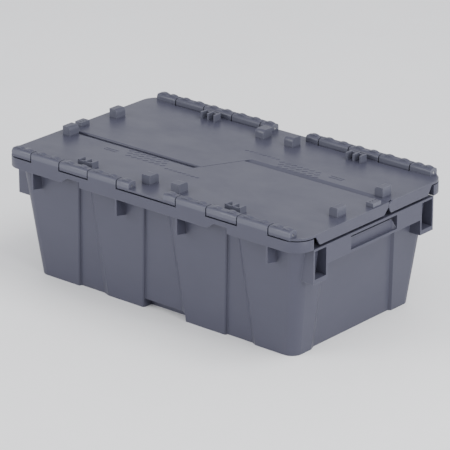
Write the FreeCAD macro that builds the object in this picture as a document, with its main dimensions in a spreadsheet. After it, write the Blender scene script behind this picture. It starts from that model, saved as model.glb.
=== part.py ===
import FreeCAD, Part
import math
import os
import Sketcher

os.makedirs("parts", exist_ok=True)
doc = FreeCAD.newDocument("attached_lid_tote")

# ---------------------------------------------------------------- dimensions (mm)
# Frame: X along the length, Y across the width, Z up, origin at the bottom centre.
# The tote repeats itself after half a turn about Z, and so do its two lids.
DIMS = {
    # overall
    "half_length": 250.0, "half_width": 150.0, "rim_radius": 26.0,
    "rim_top": 167.5, "rim_low": 153.5, "shell": 2.5, "band_inner": 147.5,
    "band_inner_x": 247.5, "band_radius": 23.5, "flange_under": 163.2,
    # channel in the rim under the lid knuckles
    "channel_floor": 165.8, "channel_inner": 135.6, "channel_end": 244.4,
    "swing_start": 222.0, "swing_run": 12.5, "swing_radius": 8.8,
    # tub walls: half sizes at the floor (low) and at the underside of the rim (top)
    "tub_x_low": 218.5, "tub_x_top": 240.0, "tub_y_low": 120.5, "tub_y_top": 135.5,
    "corner_low": 15.0, "corner_top": 19.0, "recess": 3.9, "step_run": 0.8, "edge_round": 3.0,
    "floor": 3.0, "tub_height": 165.0, "cavity_top": 168.0,
    # long wall: edges of the raised panels and the recessed channels between them
    "panel_a_low": -144.5, "panel_a_top": -128.0,
    "flank_b_low": -104.0, "flank_b_top": -115.0,
    "panel_b_low": -93.0, "panel_b_top": -108.0,
    "panel_c_low": -32.0, "panel_c_top": -15.0,
    "flank_d_low": 33.0, "flank_d_top": 18.5,
    "panel_d_low": 41.0, "panel_d_top": 26.0,
    "panel_e_low": 107.0, "panel_e_top": 122.5,
    "flank_f_low": 148.5, "flank_f_top": 134.0,
    "panel_f_low": 156.5, "panel_f_top": 140.5,
    # end wall: edges of the one wide recessed panel
    "end_a_low": -86.0, "end_a_top": -86.0, "end_b_low": -76.0, "end_b_top": -78.0,
    "end_c_low": 76.0, "end_c_top": 52.0, "end_d_low": 79.0, "end_d_top": 55.0,
    # foot cut-outs under the middle channels
    "foot_left": -31.5, "foot_right": 40.0, "foot_depth": 105.0, "foot_height": 12.0,
    "foot_wall": 102.5, "foot_roof": 14.5, "foot_inset": 0.4,
    # end rim, handle skirt and drain pockets
    "end_opening": 122.0, "end_rim_top": 153.2, "end_rim_under": 150.4,
    "skirt_half": 97.5, "skirt_low": 128.0, "skirt_inner": 247.5,
    "grip_left": -48.5, "grip_right": 45.5, "grip_low": 131.0, "grip_slot": 145.0,
    "grip_top": 150.0, "grip_end_low": 133.0, "grip_back": 242.5, "grip_face": 245.0, "grip_round": 5.0,
    "pocket_low": 107.0, "pocket_floor": 113.0, "pocket_inner": 95.0, "pocket_outer": 119.5,
    "wall_root": 228.0,
    # gusset ribs under the long rim
    "gusset_near": 50.0, "gusset_far": 197.0, "gusset_low": 131.0, "gusset_root": 126.0,
    "gusset_drop": 4.5, "gusset_face": 149.7,
    # relief in the rim band
    "relief_a": -146.5, "relief_b": 102.0, "relief_run": 32.5, "relief_slant": 11.0,
    "relief_top": 161.5,
    # hinge line: knuckles on a 50 mm pitch, one steel rod through each group of five
    "axis_y": 142.7, "axis_z": 175.0, "knuckle": 48.0, "pitch": 100.0,
    "first_box_knuckle": 51.0, "first_lid_knuckle": 101.0, "inner_knuckle_start": 29.0,
    "inner_knuckle": 20.0, "outer_knuckle_start": 201.0, "outer_knuckle": 33.0,
    "knuckle_back": 135.7, "knuckle_front": 149.7, "knuckle_low": 168.5, "knuckle_top": 181.0,
    "knuckle_round": 4.0, "bump": 15.0, "bump_radius": 15.1, "bump_width": 6.0,
    "bump_near": 4.5, "bump_next": 28.5, "bump_edge": 1.5, "bump_edge_next": 17.2,
    "rod_radius": 1.6, "bore_radius": 1.66, "rod_start": 29.5, "rod_length": 204.0,
    # lid plates
    "lid_under": 169.0, "lid_top": 172.0, "lid_half": 249.7, "lid_edge": 149.7,
    "lid_radius": 25.7, "lid_front": 133.8, "wing_x": 201.0, "wing_under": 169.0,
    "wing_inner": 226.0, "middle_half": 49.0, "envelope": 8.65,
    # seam between the lids: the tongue of one lies on the lip of the other
    "seam": 27.5, "seam_run": 14.0, "seam_gap": 28.4, "seam_round": 2.2, "split": 0.75, "ramp_start": 37.0,
    "lip_top": 168.6, "lip_under": 166.0, "lip_end": 14.0, "lip_left": 245.0,
    "lip_right": 15.0, "strip_reach": 8.0,
    # lid end flanges
    "flange_x": 247.2, "flange_low": 156.8, "flange_start": 118.0, "flange_foot": 110.0,
    "flange_knee": 169.5, "notch_top": 165.3, "notch_left": 18.5, "notch_right": 32.5,
    # raised details on the lids
    "boss_half": 7.0, "boss_high": 184.8, "boss_run": 17.0, "boss_round": 5.0,
    "boss_y": 104.3, "boss_x": 24.7, "end_boss_x": 222.0, "end_boss_run": 13.0,
    "end_boss_half": 8.75, "end_boss_near": 43.1, "end_boss_far": 48.9,
    "lug_x": 124.5, "lug_pitch": 11.3, "lug_half_rib": 1.3, "lug_near": 115.2,
    "lug_far": 127.5, "lug_wall": 125.0, "lug_high": 182.0,
    "eye_x": 236.5, "eye_length": 11.5, "eye_y": -2.0, "eye_width": 16.0, "eye_high": 178.0,
    "eye_hole": 1.6, "eye_pitch": 5.0,
}

sheet = doc.addObject("Spreadsheet::Sheet", "dims")
for row, (alias, number) in enumerate(DIMS.items(), start=1):
    sheet.set("A%d" % row, alias)
    sheet.set("B%d" % row, str(number))
    sheet.setAlias("B%d" % row, alias)
doc.recompute()


# ---------------------------------------------------------------- helpers
def number(text):
    """Value of a sum such as 'half_length - shell' taken from the dimensions."""
    total, sign = 0.0, 1.0
    for word in text.split():
        if word in "+-":
            sign = 1.0 if word == "+" else -1.0
        else:
            total += sign * (DIMS[word] if word in DIMS else float(word))
            sign = 1.0
    return total


def formula(text):
    """The same sum written as a spreadsheet expression."""
    return " ".join("dims." + word if word in DIMS else word for word in text.split())


def flipped(text):
    """The sum with its sign changed, still written word by word."""
    swap = {"+": "-", "-": "+"}
    words = text.split()
    words = [swap.get(word, word) for word in words]
    if words[0] == "+":
        return " ".join(words[1:])
    return " ".join(words) if words[0] == "-" else "- " + " ".join(words)


def bind(item, prop, text):
    item.setExpression(prop, formula(text))


def new_body(label):
    body = doc.addObject("PartDesign::Body", label)
    body.Label = label
    return body


def plane(body, role):
    for feature in body.Origin.OriginFeatures:
        if feature.Role == role:
            return feature
    raise RuntimeError("no origin plane " + role)


def new_sketch(body, role, offset, name):
    sketch = body.newObject("Sketcher::SketchObject", name)
    sketch.AttachmentSupport = [(plane(body, role), "")]
    sketch.MapMode = "FlatFace"
    bind(sketch, "AttachmentOffset.Base.z", offset)
    return sketch


def pin(sketch, index, end, x, y):
    """Fix one end of a curve at (x, y) with two sheet-driven distances."""
    for kind, text in (("DistanceX", x), ("DistanceY", y)):
        value = number(text)
        if abs(value) < 1e-9:
            other = "DistanceX" if kind == "DistanceX" else "DistanceY"
            sketch.addConstraint(Sketcher.Constraint(other, -1, 1, index, end, 0.0))
            continue
        row = sketch.addConstraint(Sketcher.Constraint(kind, -1, 1, index, end, value))
        sketch.setExpression("Constraints[%d]" % row, formula(text))


def outline(sketch, nodes):
    """Closed outline. A node is (x, y) or (x, y, radius); with a radius the run to the
    next node is an arc that turns left."""
    points = [FreeCAD.Vector(number(n[0]), number(n[1]), 0) for n in nodes]
    first = sketch.GeometryCount
    count = len(nodes)
    for i, node in enumerate(nodes):
        a, b = points[i], points[(i + 1) % count]
        if len(node) == 3:
            radius = number(node[2])
            half = (b - a) * 0.5
            reach = math.sqrt(max(radius ** 2 - half.Length ** 2, 0.0))
            normal = FreeCAD.Vector(-half.y, half.x, 0).normalize()
            centre = a + half + normal * reach
            start = math.atan2(a.y - centre.y, a.x - centre.x)
            stop = math.atan2(b.y - centre.y, b.x - centre.x)
            circle = Part.Circle(centre, FreeCAD.Vector(0, 0, 1), radius)
            sketch.addGeometry(Part.ArcOfCircle(circle, start, stop), False)
        else:
            sketch.addGeometry(Part.LineSegment(a, b), False)
    for i, node in enumerate(nodes):
        here, after = first + i, first + (i + 1) % count
        sketch.addConstraint(Sketcher.Constraint("Coincident", here, 2, after, 1))
        pin(sketch, here, 1, node[0], node[1])
        if len(node) == 3:
            row = sketch.addConstraint(Sketcher.Constraint("Radius", here, number(node[2])))
            sketch.setExpression("Constraints[%d]" % row, formula(node[2]))


def rectangle(sketch, left, right, low, high):
    outline(sketch, [(left, low), (right, low), (right, high), (left, high)])


def circle(sketch, x, y, radius):
    spot = FreeCAD.Vector(number(x), number(y), 0)
    index = sketch.addGeometry(Part.Circle(spot, FreeCAD.Vector(0, 0, 1), number(radius)), False)
    pin(sketch, index, 3, x, y)
    row = sketch.addConstraint(Sketcher.Constraint("Radius", index, number(radius)))
    sketch.setExpression("Constraints[%d]" % row, formula(radius))


def pad(body, sketch, length, name):
    feature = body.newObject("PartDesign::Pad", name)
    feature.Profile = sketch
    bind(feature, "Length", length)
    return feature


def pocket(body, sketch, length, name):
    """Cut along the sketch normal, the way a pad would grow."""
    feature = body.newObject("PartDesign::Pocket", name)
    feature.Profile = sketch
    feature.Reversed = True
    bind(feature, "Length", length)
    return feature


def pattern(body, kind, originals, name):
    """Repeat features by half a turn about Z or mirrored across X = 0."""
    if kind == "half_turn":
        feature = body.newObject("PartDesign::PolarPattern", name)
        axis = next(f for f in body.Origin.OriginFeatures if f.Role == "Z_Axis")
        feature.Axis = (axis, [""])
        feature.Angle = 360.0
        feature.Occurrences = 2
    else:
        feature = body.newObject("PartDesign::Mirrored", name)
        feature.MirrorPlane = (plane(body, "YZ_Plane"), [""])
    feature.Originals = originals
    body.Tip = feature
    return feature


def half_turn(nodes):
    return [(flipped(n[0]), flipped(n[1])) + tuple(n[2:]) for n in nodes]


# ---------------------------------------------------------------- tote body
def tub_outline(level, inset):
    """Wall outline at the floor ('low') or rim ('top'); inset draws the inner face. Each
    panel of a long wall ends in a rounded edge and a steep step, and starts with a slope."""
    t = " - shell" if inset else ""
    plus = " + shell" if inset else ""
    x, y, r = "tub_x_" + level, "tub_y_" + level, "corner_" + level
    side, deep = "- " + y + plus, "- " + y + " + recess" + plus
    nodes = [("- " + x + " + " + r, side)]
    for edge, flank, start in (("a", "b", "b"), ("c", "d", "d"), ("e", "f", "f")):
        right = "panel_%s_%s" % (edge, level)
        nodes += [(right + " - edge_round", side, "edge_round" + t),
                  (right + t, side + " + edge_round" + t), (right + " + step_run" + t, deep),
                  ("flank_%s_%s%s" % (flank, level, plus), deep),
                  ("panel_%s_%s%s" % (start, level, plus), side)]
    nodes.append((x + " - " + r, side, r + t))
    end, pit = x + t, x + " - recess" + t
    nodes += [(end, "- " + y + " + " + r),
              (end, "end_a_" + level + t), (pit, "end_b_" + level + t),
              (pit, "end_c_" + level + plus), (end, "end_d_" + level + plus),
              (end, y + " - " + r, r + t)]
    back = half_turn(nodes)
    return nodes + back


def round_rectangle(half_x, half_y, radius):
    right, top = half_x + " - " + radius, half_y + " - " + radius
    nodes = [("- " + right.replace(" - ", " + "), "- " + half_y), (right, "- " + half_y, radius),
             (half_x, "- " + top.replace(" - ", " + ")), (half_x, top, radius)]
    return nodes + half_turn(nodes)


def hollow_tub(body):
    low = new_sketch(body, "XY_Plane", "floor", "cavity_low")
    outline(low, tub_outline("low", True))
    top = new_sketch(body, "XY_Plane", "cavity_top", "cavity_top_outline")
    outline(top, tub_outline("top", True))
    loft = body.newObject("PartDesign::SubtractiveLoft", "cavity")
    loft.Profile, loft.Sections, loft.Ruled = low, [top], True


def knuckle_outline(front, low):
    """Section of a front knuckle: flat outer face, rounded top edges."""
    top, shoulder = "knuckle_top", "knuckle_top - knuckle_round"
    return [("- " + front, low), ("- knuckle_back", low),
            ("- knuckle_back", shoulder, "knuckle_round"),
            ("- knuckle_back - knuckle_round", top),
            ("- " + front + " + knuckle_round", top, "knuckle_round"),
            ("- " + front, shoulder)]


def mirrored(nodes):
    """The same outline on the other side of the sketch's vertical axis."""
    turned = [(flipped(n[0]), n[1]) for n in nodes][::-1]
    # a rounded run keeps its radius on the node that now starts it
    radii = [n[2:] for n in nodes]
    radii = radii[:-1][::-1] + radii[-1:]
    return [node + tuple(radius) for node, radius in zip(turned, radii)]


def bumps(body, spots, offset):
    """Low round-topped bumps on a knuckle, each starting at one of the spots along X."""
    sketch = new_sketch(body, "XZ_Plane", offset, "bump_outline")
    base = "knuckle_top - 1"
    for near in spots:
        far = near + " + bump"
        outline(sketch, [(near, base), (far, base), (far, "knuckle_top", "bump_radius"),
                         (near, "knuckle_top")])
    return pad(body, sketch, "bump_width", "bumps")


def build_tote():
    body = new_body("tote_body")

    # rim: a plate round the top with a band hanging from its edge
    rim = new_sketch(body, "XY_Plane", "rim_low", "rim_outline")
    outline(rim, round_rectangle("half_length", "half_width", "rim_radius"))
    pad(body, rim, "rim_top - rim_low", "rim")
    hollow = new_sketch(body, "XY_Plane", "rim_low", "rim_hollow_outline")
    outline(hollow, round_rectangle("band_inner_x", "band_inner", "band_radius"))
    pocket(body, hollow, "flange_under - rim_low", "rim_hollow")

    # outside of the tub
    low = new_sketch(body, "XY_Plane", "0", "tub_low")
    outline(low, tub_outline("low", False))
    top = new_sketch(body, "XY_Plane", "tub_height", "tub_top")
    outline(top, tub_outline("top", False))
    loft = body.newObject("PartDesign::AdditiveLoft", "tub")
    loft.Profile, loft.Sections, loft.Ruled = low, [top], True

    # rim and end wall step down across each end, where the lids hang over them
    step = new_sketch(body, "XY_Plane", "end_rim_top", "end_step_outline")
    rectangle(step, "wall_root", "half_length + 2", "- end_opening", "end_opening")
    end_step = pocket(body, step, "rim_top - end_rim_top + 3", "end_step")
    pattern(body, "half_turn", [end_step], "end_steps")

    end = []
    sketch = new_sketch(body, "XY_Plane", "end_rim_under", "end_rim_outline")
    rectangle(sketch, "wall_root", "half_length", "- end_opening", "end_opening")
    end.append(pad(body, sketch, "end_rim_top - end_rim_under", "end_rim"))
    sketch = new_sketch(body, "XY_Plane", "skirt_low", "skirt_outline")
    rectangle(sketch, "skirt_inner", "half_length", "- skirt_half", "skirt_half")
    end.append(pad(body, sketch, "end_rim_under + 1 - skirt_low", "skirt"))
    sketch = new_sketch(body, "XY_Plane", "skirt_low", "grip_pan_outline")
    rectangle(sketch, "grip_back", "half_length", "grip_left - shell", "grip_right + shell")
    end.append(pad(body, sketch, "end_rim_under + 1 - skirt_low", "grip_pan"))
    # pockets beside the skirt: side plates, then their floors
    sketch = new_sketch(body, "XY_Plane", "pocket_low", "pocket_sides")
    for near, far in (("pocket_inner", "skirt_half"), ("pocket_outer", "end_opening")):
        rectangle(sketch, "wall_root", "half_length", near, far)
        rectangle(sketch, "wall_root", "half_length", "- " + far, "- " + near)
    end.append(pad(body, sketch, "end_rim_under + 1 - pocket_low", "pocket_plates"))
    sketch = new_sketch(body, "XY_Plane", "pocket_low", "pocket_floors")
    rectangle(sketch, "wall_root", "half_length", "pocket_inner + 1", "end_opening - 1")
    rectangle(sketch, "wall_root", "half_length", "- end_opening + 1", "- pocket_inner - 1")
    end.append(pad(body, sketch, "pocket_floor - pocket_low", "pocket_bases"))
    # plates that close the hollow rim beside the opening
    sketch = new_sketch(body, "XY_Plane", "rim_low", "rim_ends")
    for low_y, high_y in (("end_opening", "end_opening + shell"),
                          ("- end_opening - shell", "- end_opening")):
        rectangle(sketch, "wall_root", "band_inner_x + 1", low_y, high_y)
    end.append(pad(body, sketch, "flange_under + 1 - rim_low", "rim_end_plates"))
    pattern(body, "half_turn", end, "ends")

    # gusset ribs under the long rim, lower at the wall than at the rim's edge
    ribs = []
    for near in ("gusset_near", "gusset_far"):
        sketch = new_sketch(body, "YZ_Plane", near, "gusset_outline")
        outline(sketch, [("- gusset_face", "gusset_low"),
                         ("- gusset_root", "gusset_low - gusset_drop"),
                         ("- gusset_root", "flange_under + 1"),
                         ("- gusset_face", "flange_under + 1")])
        outline(sketch, [("gusset_root", "gusset_low - gusset_drop"),
                         ("gusset_face", "gusset_low"), ("gusset_face", "flange_under + 1"),
                         ("gusset_root", "flange_under + 1")])
        ribs.append(pad(body, sketch, "shell", "gusset"))
    pattern(body, "mirror", ribs, "gussets")

    # channel along each long rim, in which the lid knuckles swing
    sketch = new_sketch(body, "XY_Plane", "channel_floor", "channel_outline")
    outline(sketch, [("- band_inner_x + band_radius", "- band_inner"),
                     ("band_inner_x - band_radius", "- band_inner", "band_radius"),
                     ("channel_end", "- channel_inner"),
                     ("- channel_end", "- channel_inner", "band_radius")])
    channel = [pocket(body, sketch, "rim_top + 1 - channel_floor", "channel")]
    # hollow round the hinge axis, which lets the lid corner swing past the rim corner
    for start in ("swing_start", "- swing_start - swing_run"):
        sketch = new_sketch(body, "YZ_Plane", start, "swing_outline")
        circle(sketch, "- axis_y", "axis_z", "swing_radius")
        channel.append(pocket(body, sketch, "swing_run", "swing_hollow"))
    pattern(body, "half_turn", channel, "channels")

    # hinge knuckles that belong to the tote
    group = []
    for shift in ("0", "pitch"):
        start = "first_box_knuckle + " + shift
        sketch = new_sketch(body, "YZ_Plane", start, "knuckle_outline")
        outline(sketch, knuckle_outline("half_width", "flange_under"))
        outline(sketch, mirrored(knuckle_outline("half_width", "flange_under")))
        group.append(pad(body, sketch, "knuckle", "box_knuckle"))
        spots = (start + " + bump_near", start + " + bump_next")
        for offset in ("knuckle_back + knuckle_round",
                       "- knuckle_back - knuckle_round - bump_width"):
            group.append(bumps(body, spots, offset))
    pattern(body, "mirror", group, "box_knuckles")

    hollow_tub(body)

    # foot cut-outs under the middle channels, with their own wall, roof and sides inside;
    # the block ends within the thickness of the long wall
    feet = []
    sketch = new_sketch(body, "XY_Plane", "0", "foot_block_outline")
    outline(sketch, [("foot_left - shell", "recess - tub_y_low + foot_inset"),
                     ("flank_d_low", "recess - tub_y_low + foot_inset"),
                     ("panel_d_low", "foot_inset - tub_y_low"),
                     ("foot_right + shell", "foot_inset - tub_y_low"),
                     ("foot_right + shell", "- foot_wall"),
                     ("foot_left - shell", "- foot_wall")])
    feet.append(pad(body, sketch, "foot_roof", "foot_block"))
    pattern(body, "half_turn", feet, "foot_blocks")
    sketch = new_sketch(body, "XY_Plane", "- 1", "foot_cut_outline")
    rectangle(sketch, "foot_left", "foot_right", "- tub_y_low - 5", "- foot_depth")
    cut = pocket(body, sketch, "foot_height + 1", "foot_cut")
    pattern(body, "half_turn", [cut], "foot_cuts")

    # hand-hold in each skirt: a recessed bar with a finger slot above it
    cuts = []
    sketch = new_sketch(body, "XY_Plane", "grip_low", "grip_recess_outline")
    outline(sketch, [("grip_face", "grip_left"), ("half_length + 2", "grip_left"),
                     ("half_length + 2", "grip_right"), ("half_length", "grip_right", "grip_round"),
                     ("grip_face", "grip_right - grip_round")])
    cuts.append(pocket(body, sketch, "grip_top - grip_low", "grip_recess"))
    sketch = new_sketch(body, "XY_Plane", "grip_slot", "grip_slot_outline")
    rectangle(sketch, "grip_back - 1", "half_length + 2", "grip_left", "grip_right")
    cuts.append(pocket(body, sketch, "grip_top - grip_slot", "grip_finger_slot"))
    sketch = new_sketch(body, "YZ_Plane", "grip_back - 1", "grip_end_outline")
    outline(sketch, [("grip_right", "grip_end_low"), ("grip_right", "grip_slot + 1"),
                     ("grip_right - 7", "grip_slot + 1"),
                     ("grip_right - 2.7", "grip_slot - 4.5")])
    cuts.append(pocket(body, sketch, "half_length + 3 - grip_back", "grip_end_slot"))
    pattern(body, "half_turn", cuts, "grips")

    # reliefs in the lower edge of the long bands, sloped on their left
    sketch = new_sketch(body, "XZ_Plane", "band_inner - 1", "relief_outline")
    for left in ("relief_a", "relief_b"):
        outline(sketch, [(left, "rim_low - 1"), (left + " + relief_run", "rim_low - 1"),
                         (left + " + relief_run", "relief_top"),
                         (left + " + relief_slant", "relief_top"), (left, "rim_low")])
    relief = pocket(body, sketch, "half_width - band_inner + 3", "relief")
    pattern(body, "half_turn", [relief], "reliefs")

    # rod bores
    sketch = new_sketch(body, "YZ_Plane", "rod_start - 1", "bore_outline")
    circle(sketch, "- axis_y", "axis_z", "rod_radius")
    circle(sketch, "axis_y", "axis_z", "rod_radius")
    bore = pocket(body, sketch, "rod_length + 2", "bore")
    pattern(body, "mirror", [bore], "bores")
    return body


# ---------------------------------------------------------------- lids
def build_lid(label, turn):
    """One lid half, drawn as the front one; the back one is turned half a turn about Z."""
    body = new_body(label)
    plate = new_sketch(body, "XY_Plane", "lid_under", "plate_outline")
    outline(plate, [("- lid_half", "- flange_start"), ("- wing_inner", "- flange_start"),
                    ("- wing_inner", "- lid_front"), ("wing_inner", "- lid_front"),
                    ("wing_inner", "- flange_start"), ("lid_half", "- flange_start"),
                    ("lid_half", "seam"), ("seam_run + split", "seam"),
                    ("- seam_run + split", "- seam"), ("- seam_run - 5", "- ramp_start"),
                    ("- lid_half", "- ramp_start")])
    pad(body, plate, "lid_top - lid_under", "plate")

    # corner wings that sit on the rim corners, and the plain edge between the rods
    wings = new_sketch(body, "XY_Plane", "wing_under", "wing_outline")
    outline(wings, [("lid_half - lid_radius", "- lid_edge", "lid_radius"),
                    ("lid_half", "- lid_edge + lid_radius"), ("lid_half", "- flange_start + 1"),
                    ("wing_inner - 1", "- flange_start + 1"), ("wing_inner - 1", "- lid_front + 1"),
                    ("wing_x", "- lid_front + 1"), ("wing_x", "- lid_edge")])
    wing = pad(body, wings, "lid_top - wing_under", "wing")
    pattern(body, "mirror", [wing], "wings")
    middle = new_sketch(body, "XY_Plane", "wing_under", "middle_outline")
    rectangle(middle, "- middle_half", "middle_half", "- lid_edge", "- lid_front + 1")
    pad(body, middle, "lid_top - wing_under", "middle_edge")

    # ramp and lip that slide under the tongue of the other lid
    lip = new_sketch(body, "YZ_Plane", "- lip_left", "lip_outline")
    outline(lip, [("- ramp_start - 1", "lid_under"), ("- seam_gap", "lip_under"),
                  ("- lip_end", "lip_under"), ("- lip_end", "lip_top"),
                  ("- seam_gap", "lip_top"), ("- ramp_start", "lid_top"),
                  ("- ramp_start - 1", "lid_top")])
    pad(body, lip, "lip_left - lip_right", "lip")

    # rounded upper edge of the tongue
    edge = new_sketch(body, "YZ_Plane", "seam_run + split", "tongue_edge_outline")
    outline(edge, [("seam", "lid_top - seam_round", "seam_round"),
                   ("seam - seam_round", "lid_top"), ("seam - seam_round", "lid_top + 1"),
                   ("seam + 1", "lid_top + 1"), ("seam + 1", "lid_top - seam_round")])
    pocket(body, edge, "lid_half - seam_run", "tongue_edge")

    # strip under the slanted part of the seam: it belongs to this lid and reaches under
    # the other one along the near half of the slant
    strip = new_sketch(body, "XY_Plane", "lip_under", "strip_outline")
    outline(strip, [("strip_reach", "- seam - 3"), ("strip_reach", "- 1"),
                    ("- strip_reach + 2", "- 1"), ("- seam_run - strip_reach + 2", "- seam + 2"),
                    ("- seam_run - strip_reach + 2", "- seam - 3")])
    pad(body, strip, "lip_top - lip_under", "strip")
    joint = new_sketch(body, "XY_Plane", "lip_top - 1", "strip_joint_outline")
    outline(joint, [("- seam_run + 4", "- seam - 3"), ("strip_reach", "- seam - 3"),
                    ("strip_reach", "- 1"), ("3", "- 1"), ("- seam_run + 4", "- seam + 2")])
    pad(body, joint, "lid_under - lip_top + 2", "strip_joint")

    # end flanges hanging over the tote's end walls
    right = new_sketch(body, "YZ_Plane", "flange_x", "flange_right")
    outline(right, [("- flange_start", "lid_top"), ("- flange_start", "flange_knee"),
                    ("- flange_foot", "flange_low"), ("notch_left", "flange_low"),
                    ("seam", "notch_top"), ("seam", "lid_top")])
    pad(body, right, "lid_half - flange_x", "flange_right_pad")
    left = new_sketch(body, "YZ_Plane", "- lid_half", "flange_left")
    outline(left, [("- flange_start", "lid_top"), ("- flange_start", "flange_knee"),
                   ("- flange_foot", "flange_low"), ("- notch_right", "flange_low"),
                   ("- seam_gap", "notch_top"), ("- seam_gap", "lip_top"),
                   ("- ramp_start", "lid_top")])
    pad(body, left, "lid_half - flange_x", "flange_left_pad")

    # lid knuckles and the webs that join them to the plate
    group = []
    for start, length, spots in (
            ("first_lid_knuckle", "knuckle", ("bump_near", "bump_next")),
            ("outer_knuckle_start", "outer_knuckle", ("bump_edge", "bump_edge_next")),
            ("inner_knuckle_start", "inner_knuckle", ("bump_edge",))):
        sketch = new_sketch(body, "YZ_Plane", start, "knuckle_outline")
        outline(sketch, knuckle_outline("knuckle_front", "knuckle_low"))
        group.append(pad(body, sketch, length, "lid_knuckle"))
        web = new_sketch(body, "XY_Plane", "lid_under", "web_outline")
        rectangle(web, start, start + " + " + length, "- axis_y", "- lid_front + 1")
        group.append(pad(body, web, "lid_top - lid_under", "web"))
        group.append(bumps(body, [start + " + " + spot for spot in spots],
                           "knuckle_back + knuckle_round"))
    pattern(body, "mirror", group, "knuckles")

    # the lower front corner is rounded so the lid can swing in the channel
    sweep = new_sketch(body, "YZ_Plane", "- half_length - 1", "sweep_outline")
    outline(sweep, [("- axis_y - envelope", "axis_z", "envelope"), ("- axis_y", "axis_z - envelope"),
                    ("- axis_y", "axis_z - 12"), ("- axis_y - 12", "axis_z - 12"),
                    ("- axis_y - 12", "axis_z")])
    pocket(body, sweep, "half_length + half_length + 2", "sweep")
    bore = new_sketch(body, "YZ_Plane", "rod_start - 2", "rod_bore_outline")
    circle(bore, "- axis_y", "axis_z", "bore_radius")
    cut = pocket(body, bore, "rod_length + 3", "rod_bore")
    pattern(body, "mirror", [cut], "rod_bores")

    details(body)
    body.Placement = FreeCAD.Placement(FreeCAD.Vector(0, 0, 0), FreeCAD.Rotation(
        FreeCAD.Vector(0, 0, 1), turn))
    return body


def details(body):
    """Stacking bosses, three-rib lugs and the tie eyelet on top of a lid."""
    near, far = "- boss_y", "- boss_y - boss_run"
    base, high, low = "lid_top - 1", "boss_high", "boss_high - boss_round"
    for side in ("- boss_x", "boss_x"):
        sketch = new_sketch(body, "YZ_Plane", side + " - boss_half", "boss_outline")
        outline(sketch, [(far, base), (near, base), (near, low, "boss_round"),
                         (near + " - boss_round", high), (far, high)])
        pad(body, sketch, "boss_half + boss_half", "boss")
    # the XZ plane looks along -Y, so its offset is counted towards the front
    sketch = new_sketch(body, "XZ_Plane", "end_boss_far - end_boss_half", "end_boss_right")
    outline(sketch, [("end_boss_x", base), ("end_boss_x + end_boss_run", base),
                     ("end_boss_x + end_boss_run", high),
                     ("end_boss_x + boss_round", high, "boss_round"), ("end_boss_x", low)])
    pad(body, sketch, "end_boss_half + end_boss_half", "end_boss_right_pad")
    sketch = new_sketch(body, "XZ_Plane", "end_boss_near - end_boss_half", "end_boss_left")
    outline(sketch, [("- end_boss_x - end_boss_run", high),
                     ("- end_boss_x - end_boss_run", base), ("- end_boss_x", base),
                     ("- end_boss_x", low, "boss_round"), ("- end_boss_x - boss_round", high)])
    pad(body, sketch, "end_boss_half + end_boss_half", "end_boss_left_pad")
    for side in ("- lug_x", "lug_x"):
        sketch = new_sketch(body, "XY_Plane", base, "lug_outline")
        for shift in ("- lug_pitch", "+ 0", "+ lug_pitch"):
            middle = side + " " + shift
            rectangle(sketch, middle + " - lug_half_rib", middle + " + lug_half_rib",
                      "- lug_far", "- lug_near")
        pad(body, sketch, "lug_high - lid_top + 1", "lug_ribs")
        sketch = new_sketch(body, "XY_Plane", base, "lug_wall_outline")
        rectangle(sketch, side + " - lug_pitch", side + " + lug_pitch", "- lug_far",
                  "- lug_wall")
        pad(body, sketch, "lug_high - lid_top", "lug_wall_pad")
    sketch = new_sketch(body, "XY_Plane", base, "eye_outline")
    rectangle(sketch, "eye_x", "eye_x + eye_length", "eye_y", "eye_y + eye_width")
    pad(body, sketch, "eye_high - lid_top + 1", "eyelet")
    sketch = new_sketch(body, "XY_Plane", "lid_under - 1", "eye_hole_outline")
    for shift in ("- eye_pitch", "+ 0", "+ eye_pitch"):
        circle(sketch, "eye_x + 4", "eye_y + 8 " + shift, "eye_hole")
    pocket(body, sketch, "eye_high - lid_under + 2", "eye_holes")


# ---------------------------------------------------------------- rods
def build_rod(label, side_x, side_y):
    rod = doc.addObject("Part::Cylinder", label)
    rod.Label = label
    bind(rod, "Radius", "rod_radius")
    bind(rod, "Height", "rod_length")
    rod.Placement = FreeCAD.Placement(FreeCAD.Vector(0, 0, 0), FreeCAD.Rotation(
        FreeCAD.Vector(0, 1, 0), 90))
    bind(rod, "Placement.Base.x", "rod_start" if side_x > 0 else "- rod_start - rod_length")
    bind(rod, "Placement.Base.y", "axis_y" if side_y > 0 else "- axis_y")
    bind(rod, "Placement.Base.z", "axis_z")
    return rod


parts = [build_tote(), build_lid("lid_front", 0), build_lid("lid_back", 180)]
for word_y, side_y in (("front", -1), ("back", 1)):
    for word_x, side_x in (("left", -1), ("right", 1)):
        parts.append(build_rod("hinge_rod_%s_%s" % (word_y, word_x), side_x, side_y))
doc.recompute()

# ---------------------------------------------------------------- check and write
faults = ["%s %s" % (item.Label, item.State) for item in doc.Objects
          if "Invalid" in item.State or "Error" in item.State]
if faults:
    raise RuntimeError("; ".join(faults))
for part in parts:
    shape = part.Shape
    if shape.isNull() or not shape.isValid() or len(shape.Solids) != 1:
        raise RuntimeError("%s: bad shape, %d solids" % (part.Label, len(shape.Solids)))
    shape.exportStep("parts/%s.step" % part.Label)
    box = shape.BoundBox
    print("%s x %.1f..%.1f y %.1f..%.1f z %.1f..%.1f volume %.0f" % (
        part.Label, box.XMin, box.XMax, box.YMin, box.YMax, box.ZMin, box.ZMax, shape.Volume))
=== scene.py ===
import math

import bpy
from mathutils import Matrix, Vector


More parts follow.
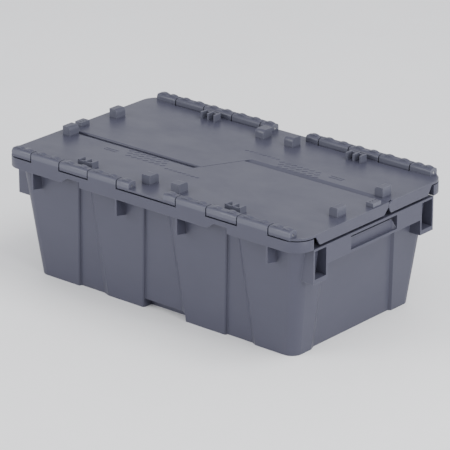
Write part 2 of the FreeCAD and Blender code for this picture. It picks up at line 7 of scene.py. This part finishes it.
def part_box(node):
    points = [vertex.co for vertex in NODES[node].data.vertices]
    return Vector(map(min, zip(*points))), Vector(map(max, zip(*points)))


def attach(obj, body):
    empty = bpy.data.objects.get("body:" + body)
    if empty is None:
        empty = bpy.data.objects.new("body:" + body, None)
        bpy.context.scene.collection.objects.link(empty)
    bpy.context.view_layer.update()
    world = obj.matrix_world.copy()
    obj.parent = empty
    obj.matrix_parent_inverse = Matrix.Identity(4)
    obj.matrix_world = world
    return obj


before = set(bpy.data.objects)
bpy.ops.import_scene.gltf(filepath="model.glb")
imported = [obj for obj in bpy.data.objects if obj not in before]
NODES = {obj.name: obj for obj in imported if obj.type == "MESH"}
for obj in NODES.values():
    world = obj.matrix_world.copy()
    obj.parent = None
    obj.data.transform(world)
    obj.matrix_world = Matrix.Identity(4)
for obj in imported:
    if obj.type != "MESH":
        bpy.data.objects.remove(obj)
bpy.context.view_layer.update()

MM = 0.001
BOSS_RISE = 12.8 * MM
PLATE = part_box("lid_front")[1].z - BOSS_RISE    # top of the lids' flat plates

# ---------------------------------------------------------------- view
AZIMUTH = math.radians(40.39)
ELEVATION = math.radians(21.36)
ROLL = math.radians(-0.06)
DISTANCE = 3.851
AIM = Vector((0.0031, 0.0012, 0.0871))
LENS = 235.93
SENSOR = 36.0


def make_camera():
    data = bpy.data.cameras.new("camera")
    data.lens = LENS
    data.sensor_width = SENSOR
    data.clip_start = 0.05
    data.clip_end = 60.0
    camera = bpy.data.objects.new("camera", data)
    bpy.context.scene.collection.objects.link(camera)
    back = Vector((math.sin(AZIMUTH) * math.cos(ELEVATION),
                   -math.cos(AZIMUTH) * math.cos(ELEVATION), math.sin(ELEVATION)))
    turn = back.to_track_quat("Z", "Y").to_matrix() @ Matrix.Rotation(ROLL, 3, "Z")
    camera.matrix_world = Matrix.Translation(AIM + back * DISTANCE) @ turn.to_4x4()
    bpy.context.scene.camera = camera


# Soft boxes: name, place in metres, side in metres, power in watts.
LIGHTS = (("top_right", (1.6, 0.4, 2.9), 1.6, 55.0),
          ("front_left", (-2.0, -2.8, 1.7), 2.0, 55.0),
          ("front_low", (-0.6, -3.0, 0.8), 1.8, 28.0),
          ("end_right", (2.9, -0.4, 1.0), 1.4, 60.0))
SKY_COLOUR = (0.94, 0.95, 1.0, 1.0)
SKY_STRENGTH = 1.05


def area_light(name, spot, size, power):
    """A square soft box at spot, facing the middle of the object."""
    data = bpy.data.lights.new(name, "AREA")
    data.shape = "SQUARE"
    data.size = size
    data.energy = power
    light = bpy.data.objects.new(name, data)
    bpy.context.scene.collection.objects.link(light)
    spot = Vector(spot)
    light.matrix_world = Matrix.Translation(spot) @ (
        spot - AIM).to_track_quat("Z", "Y").to_matrix().to_4x4()


def make_lights():
    for name, spot, size, power in LIGHTS:
        area_light(name, spot, size, power)
    world = bpy.data.worlds.new("studio")
    bpy.context.scene.world = world
    world.use_nodes = True
    sky = world.node_tree.nodes["Background"]
    sky.inputs["Color"].default_value = SKY_COLOUR
    sky.inputs["Strength"].default_value = SKY_STRENGTH


# ---------------------------------------------------------------- materials
class Nodes:
    """Short calls for building a material's node tree."""

    def __init__(self, name):
        self.material = bpy.data.materials.new(name)
        self.material.use_nodes = True
        self.tree = self.material.node_tree
        self.shader = self.tree.nodes["Principled BSDF"]

    def add(self, kind, inputs=(), **settings):
        node = self.tree.nodes.new("ShaderNode" + kind)
        for key, value in settings.items():
            setattr(node, key, value)
        for key, value in dict(inputs).items():
            if hasattr(value, "is_output"):
                self.tree.links.new(value, node.inputs[key])
            else:
                node.inputs[key].default_value = value
        return node

    def link(self, output, key):
        self.tree.links.new(output, self.shader.inputs[key])

    def place(self, scale=(1.0, 1.0, 1.0)):
        """Coordinates fixed to the piece, in metres, stretched by scale."""
        spot = self.add("TexCoord").outputs["Object"]
        return self.add("Mapping", {"Vector": spot, "Scale": scale}).outputs["Vector"]

    def noise(self, size, detail=2.0, roughness=0.5, where=None):
        """Noise whose lumps are about size metres across."""
        where = where or self.place()
        return self.add("TexNoise", {"Vector": where, "Scale": 1.0 / size, "Detail": detail,
                                     "Roughness": roughness}).outputs["Fac"]

    def remap(self, value, low, high, new_low, new_high):
        node = self.add("MapRange", {"Value": value, "From Min": low, "From Max": high,
                                     "To Min": new_low, "To Max": new_high})
        return node.outputs["Result"]

    def mix(self, factor, a, b):
        node = self.add("Mix", {"Factor": factor}, data_type="RGBA")
        for socket, colour in ((node.inputs[6], a), (node.inputs[7], b)):
            if hasattr(colour, "is_output"):
                self.tree.links.new(colour, socket)
            else:
                socket.default_value = (*colour, 1.0)
        return node.outputs[2]


def edge_mask(make, radius):
    """About 1 on convex and concave edges and 0 on flat faces."""
    soft = make.add("Bevel", {"Radius": radius}, samples=4).outputs["Normal"]
    flat = make.add("NewGeometry").outputs["Normal"]
    dot = make.add("VectorMath", operation="DOT_PRODUCT")
    make.tree.links.new(soft, dot.inputs[0])
    make.tree.links.new(flat, dot.inputs[1])
    return make.remap(dot.outputs["Value"], 1.0, 0.8, 0.0, 1.0)


# Base colours of the plastic, from even to darker flow streaks, a paler tone painted on as
# painted fill light, and a pale painted highlight for its edges.
PLASTIC_DEEP = (0.0500, 0.0507, 0.0740)
PLASTIC_LIGHT = (0.0530, 0.0537, 0.0780)
PLASTIC_STREAK = (0.0480, 0.0487, 0.0715)
PLASTIC_PAINTED_FILL_LIGHT = (0.0800, 0.0820, 0.1080)
PLASTIC_PAINTED_HIGHLIGHT = (0.190, 0.195, 0.240)
PAINTED_HIGHLIGHT_SHARE = 0.35
GRAIN_DEPTH = 0.05 * MM


def painted_fill_light_mask(make):
    """About 1 on the upright sides of what stands above the lids' plates, which get a paler
    painted tone there as painted fill light."""
    spot = make.add("TexCoord")
    height = make.add("SeparateXYZ", {"Vector": spot.outputs["Object"]}).outputs["Z"]
    above = make.remap(height, PLATE + 0.3 * MM, PLATE + 2.0 * MM, 0.0, 1.0)
    facing = make.add("SeparateXYZ", {"Vector": spot.outputs["Normal"]}).outputs["Z"]
    upright = make.add("Math", {0: facing}, operation="ABSOLUTE").outputs["Value"]
    upright = make.remap(upright, 0.2, 0.9, 1.0, 0.0)
    return make.add("Math", {0: above, 1: upright}, operation="MULTIPLY").outputs["Value"]


def moulded_plastic(name, smooth, rough, ripple):
    """Blue-grey polypropylene between two roughnesses: faint mottling, flow streaks, a fine
    spark-eroded grain, and sink ripples that are ripple metres deep."""
    make = Nodes(name)
    mottle = make.remap(make.noise(60 * MM, 3.0), 0.3, 0.7, 0.0, 1.0)
    streak = make.noise(22 * MM, 4.0, 0.6, make.place((0.35, 1.0, 2.2)))
    streak = make.remap(streak, 0.35, 0.65, 0.0, 0.35)
    body = make.mix(mottle, PLASTIC_DEEP, PLASTIC_LIGHT)
    body = make.mix(streak, body, PLASTIC_STREAK)
    # Painted fill light: the upright sides above the lids' plates are painted paler.
    body = make.mix(painted_fill_light_mask(make), body, PLASTIC_PAINTED_FILL_LIGHT)
    # Painted highlight: convex and concave edges are painted paler, standing in for edge
    # glints.
    painted_highlight = make.remap(edge_mask(make, 0.8 * MM), 0.0, 1.0, 0.0, PAINTED_HIGHLIGHT_SHARE)
    make.link(make.mix(painted_highlight, body, PLASTIC_PAINTED_HIGHLIGHT), "Base Color")
    cloud = make.noise(38 * MM, 4.0, 0.55, make.place((0.6, 1.0, 1.0)))
    make.link(make.remap(cloud, 0.3, 0.7, smooth, rough), "Roughness")
    make.shader.inputs["Specular IOR Level"].default_value = 0.3
    grain = make.noise(0.7 * MM, 2.0, 0.6)
    sink = make.noise(34 * MM, 1.0)
    fine = make.add("Bump", {"Strength": 0.35, "Distance": GRAIN_DEPTH, "Height": grain})
    broad = make.add("Bump", {"Strength": 1.0, "Distance": ripple, "Height": sink,
                              "Normal": fine.outputs["Normal"]})
    make.link(broad.outputs["Normal"], "Normal")
    return make.material


def rod_steel():
    """Drawn steel wire: streaks along its length and a slightly dull zinc coat."""
    make = Nodes("rod_steel")
    streak = make.noise(0.6 * MM, 3.0, 0.6, make.place((0.03, 1.0, 1.0)))
    spots = make.noise(4 * MM, 2.0)
    colour = make.mix(make.remap(streak, 0.3, 0.7, 0.0, 1.0), (0.40, 0.40, 0.41),
                      (0.60, 0.60, 0.61))
    make.link(colour, "Base Color")
    make.shader.inputs["Metallic"].default_value = 1.0
    make.link(make.remap(spots, 0.3, 0.7, 0.28, 0.45), "Roughness")
    bump = make.add("Bump", {"Strength": 0.3, "Distance": 0.02 * MM, "Height": streak})
    make.link(bump.outputs["Normal"], "Normal")
    return make.material


def floor_paint():
    make = Nodes("floor_paint")
    cloud = make.noise(0.35, 3.0)
    make.link(make.mix(make.remap(cloud, 0.3, 0.7, 0.0, 1.0), (0.86, 0.86, 0.86),
                       (0.89, 0.89, 0.89)), "Base Color")
    make.link(make.remap(make.noise(0.02, 2.0), 0.3, 0.7, 0.55, 0.7), "Roughness")
    return make.material


# ---------------------------------------------------------------- pieces
def make_mesh(name, points, faces):
    mesh = bpy.data.meshes.new(name)
    mesh.from_pydata([tuple(p) for p in points], [], faces)
    mesh.update()
    piece = bpy.data.objects.new(name, mesh)
    bpy.context.scene.collection.objects.link(piece)
    return piece


FLOOR_REACH = 8.0


def make_floor():
    corners = [(x * FLOOR_REACH, y * FLOOR_REACH, 0)
               for x, y in ((-1, -1), (1, -1), (1, 1), (-1, 1))]
    floor = make_mesh("floor", corners, [(0, 1, 2, 3)])
    floor.data.materials.append(floor_paint())


EDGE_WIDTH = 0.6 * MM
SHARP_EDGE = math.radians(35.0)


def soften_edges(piece, width):
    """Welds the CAD faces together and rounds every sharp edge a little."""
    weld = piece.modifiers.new("weld", "WELD")
    weld.merge_threshold = 0.01 * MM
    bevel = piece.modifiers.new("bevel", "BEVEL")
    bevel.width = width
    bevel.segments = 2
    bevel.limit_method = "ANGLE"
    bevel.angle_limit = SHARP_EDGE
    bevel.use_clamp_overlap = True
    bevel.harden_normals = False


def dress_cad_nodes():
    """The tub has a duller skin than the lids, whose tops are polished in the mould."""
    looks = {"tote": moulded_plastic("tub_plastic", 0.42, 0.48, 0.04 * MM),
             "lid": moulded_plastic("lid_plastic", 0.28, 0.40, 0.15 * MM),
             "hinge": rod_steel()}
    for name, piece in NODES.items():
        kind = name.split("_")[0]
        piece.data.materials.clear()
        piece.data.materials.append(looks[kind])
        if kind != "hinge":
            soften_edges(piece, EDGE_WIDTH)
    return looks["lid"]


# ---------------------------------------------------------------- low relief on the lids
RELIEF_HEIGHT = 0.5 * MM
RELIEF_SINK = 0.4 * MM
RELIEF_CHAMFER = 0.2 * MM
RELIEF_LEAN = math.radians(35.0)
END_STEPS = 6                          # facets of a bar's half-round end
RING_POINTS = 2 * (END_STEPS + 1)


def bar_ring(middle, length, width, lean, level):
    """Points of a bar with round ends, leaning by an angle from the X axis."""
    ring = []
    straight = (length - width) / 2.0
    for end in (1, -1):
        for step in range(END_STEPS + 1):
            angle = math.pi * (step / END_STEPS - 0.5) + (0.0 if end == 1 else math.pi)
            x = end * straight + math.cos(angle) * width / 2.0
            y = math.sin(angle) * width / 2.0
            ring.append((middle[0] + x * math.cos(lean) - y * math.sin(lean),
                         middle[1] + x * math.sin(lean) + y * math.cos(lean), level))
    return ring


def add_bar(points, faces, middle, length, width, lean):
    """A closed low bar: sunk foot, upright side, chamfered crown."""
    top = PLATE + RELIEF_HEIGHT
    levels = ((0.0, PLATE - RELIEF_SINK), (0.0, top - RELIEF_CHAMFER), (RELIEF_CHAMFER, top))
    start = len(points)
    for inset, level in levels:
        points += bar_ring(middle, length - 2 * inset, width - 2 * inset, lean, level)
    for layer in range(len(levels) - 1):
        for i in range(RING_POINTS):
            a = start + layer * RING_POINTS + i
            b = start + layer * RING_POINTS + (i + 1) % RING_POINTS
            faces.append((a, b, b + RING_POINTS, a + RING_POINTS))
    crown = start + (len(levels) - 1) * RING_POINTS
    faces.append(tuple(start + i for i in reversed(range(RING_POINTS))))
    faces.append(tuple(crown + i for i in range(RING_POINTS)))


def make_relief(name, body, side, plastic):
    """Plain raised bars, in place of the marks on such lids: a block of three rows, a line
    of smaller ones and two long ones. The back lid's are turned half a turn about Z."""
    points, faces = [], []
    for row in range(3):
        for column in range(7):
            middle = ((-123.0 + 10.0 * column + 4.0 * row) * MM, (-39.0 - 8.0 * row) * MM)
            add_bar(points, faces, middle, 7.5 * MM, 2.0 * MM, RELIEF_LEAN)
    for column in range(8):
        middle = ((-44.0 + 7.5 * column) * MM, -60.0 * MM)
        add_bar(points, faces, middle, 5.5 * MM, 1.6 * MM, RELIEF_LEAN)
    for offset in (0.0, 5.0 * MM):
        add_bar(points, faces, (-146.0 * MM, -56.0 * MM + offset), 22.0 * MM, 1.6 * MM, 0.0)
    turned = [(side * x, side * y, z) for x, y, z in points]
    piece = make_mesh(name, turned, faces)
    piece.data.materials.append(plastic)
    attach(piece, body)


make_camera()
make_lights()
make_floor()
LID_PLASTIC = dress_cad_nodes()
make_relief("relief_front", "front_lid", 1, LID_PLASTIC)
make_relief("relief_back", "back_lid", -1, LID_PLASTIC)
